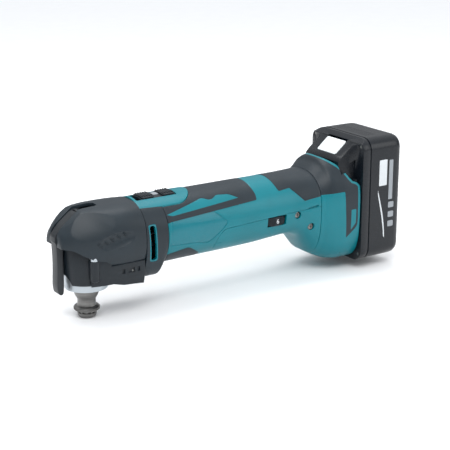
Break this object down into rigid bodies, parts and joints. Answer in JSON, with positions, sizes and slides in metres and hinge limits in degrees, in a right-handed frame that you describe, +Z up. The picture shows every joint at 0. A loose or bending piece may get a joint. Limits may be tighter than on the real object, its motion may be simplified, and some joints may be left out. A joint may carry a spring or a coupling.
{
  "type": "oscillating multi tool",
  "caption": "Cordless inline oscillating multi tool: hooded head with tool-less blade clamp lever, round grip handle with thumb slide and speed dial, slide-on battery pack at the rear.",
  "frame": {"origin": "on the spindle axis, at the face that a blade lies against", "axes": "+X along the handle from the head to the battery, +Z up along the spindle away from the blade, -Y the operator's left"},
  "size_m": [0.3378, 0.0756, 0.1224],
  "materials": {
    "teal_plastic": "fine moulded texture",
    "badge_plastic": "satin",
    "black_elastomer": "soft matt grain",
    "dark_plastic": "moulded",
    "lever_plastic": "satin moulded",
    "cast_aluminium": "as cast",
    "bright_steel": "ground",
    "dark_steel": "black oxide",
    "electrical_steel": "plated",
    "ferrite": "sintered",
    "copper": "drawn copper",
    "brass": "stamped",
    "black_plastic": "moulded",
    "battery_plastic": "fine moulded texture",
    "button_plastic": "satin",
    "cell_wrap": "shrink wrap",
    "label": "printed film",
    "circuit_board": "lacquered",
    "insulation": "silicone",
    "clear_lens": "clear"
  },
  "bodies": {
    "tool": {"gear_housing": "cast_aluminium", "head_cover": "black_elastomer", "head_lower_cover": "dark_plastic", "head_screws": "dark_steel", "led_lens": "clear_lens", "spindle_lower_bearing": "bright_steel", "spindle_upper_bearing": "bright_steel", "retaining_ring": "bright_steel", "lever_pin": "bright_steel", "motor_front_bearing": "bright_steel", "motor_rear_bearing": "bright_steel", "baffle_plate": "black_plastic", "motor_yoke": "electrical_steel", "motor_magnets": "ferrite", "brush_plate": "black_plastic", "brush_holders": "brass", "carbon_brushes": "ferrite", "front_band": "black_elastomer", "vent_frames": "badge_plastic", "barrel": "teal_plastic", "lower_rear_cover": "teal_plastic", "front_grip": "black_elastomer", "rear_grip": "black_elastomer", "belly_grip": "black_elastomer", "badge_plates": "badge_plastic", "switch_island": "teal_plastic", "switch_module": "black_plastic", "controller_board": "circuit_board", "power_leads": "insulation", "body_screws": "dark_steel", "tail_housing": "teal_plastic", "tail_grip": "black_elastomer", "rail_plate": "black_plastic", "tool_terminals": "brass"},
    "spindle": {"spindle": "dark_steel", "fork_arm": "dark_steel", "clamp_spring": "bright_steel"},
    "clamp_shaft": {"clamp_shaft": "bright_steel"},
    "holder_bolt": {"holder_bolt": "dark_steel"},
    "lever": {"clamp_lever": "lever_plastic", "lever_cam": "bright_steel"},
    "rotor": {"rotor_shaft": "bright_steel", "eccentric_bearing": "bright_steel", "cooling_fan": "black_plastic", "rotor_core": "electrical_steel", "armature_windings": "copper", "commutator": "copper"},
    "switch": {"slide_switch": "dark_plastic", "switch_link": "dark_plastic"},
    "dial": {"speed_dial": "dark_plastic"},
    "battery": {"battery_case_front": "battery_plastic", "battery_case_rear": "battery_plastic", "battery_cells": "cell_wrap", "battery_screws": "dark_steel", "battery_labels": "label"},
    "release_button": {"battery_button": "button_plastic"}
  },
  "joints": [
    {"name": "spindle_oscillation", "type": "hinge", "parent": "tool", "child": "spindle", "pos_m": [0, 0, 0], "axis": [0, 0, 1], "range_deg": [-1.6, 1.6]},
    {"name": "clamp_shaft_slide", "type": "slide", "parent": "spindle", "child": "clamp_shaft", "axis": [0, 0, 1], "range_m": [-0.0025, 0], "deforming": ["clamp_spring"]},
    {"name": "holder_bolt_slide", "type": "slide", "parent": "spindle", "child": "holder_bolt", "axis": [0, 0, -1], "range_m": [0, 0.03]},
    {"name": "lever_swing", "type": "hinge", "parent": "tool", "child": "lever", "pos_m": [-0.003, 0, 0.0815], "axis": [0, 1, 0], "range_deg": [0, 135]},
    {"name": "rotor_spin", "type": "hinge", "parent": "tool", "child": "rotor", "pos_m": [0.07, 0, 0.0595], "axis": [1, 0, 0], "continuous": true},
    {"name": "switch_slide", "type": "slide", "parent": "tool", "child": "switch", "axis": [-1, 0, 0], "range_m": [0, 0.005]},
    {"name": "dial_turn", "type": "hinge", "parent": "tool", "child": "dial", "pos_m": [0.174, -0.0155, 0.054], "axis": [0, 0, 1], "range_deg": [-250, 0]},
    {"name": "battery_slide", "type": "slide", "parent": "tool", "child": "battery", "axis": [0, 0, 1], "range_m": [0, 0.1]},
    {"name": "button_press", "type": "slide", "parent": "battery", "child": "release_button", "axis": [0.6561, 0, -0.7547], "range_m": [0, 0.004]}
  ],
  "couplings": [
    {"joint": "clamp_shaft_slide", "follows": "lever_swing", "m_per_rad": -0.001061}
  ]
}
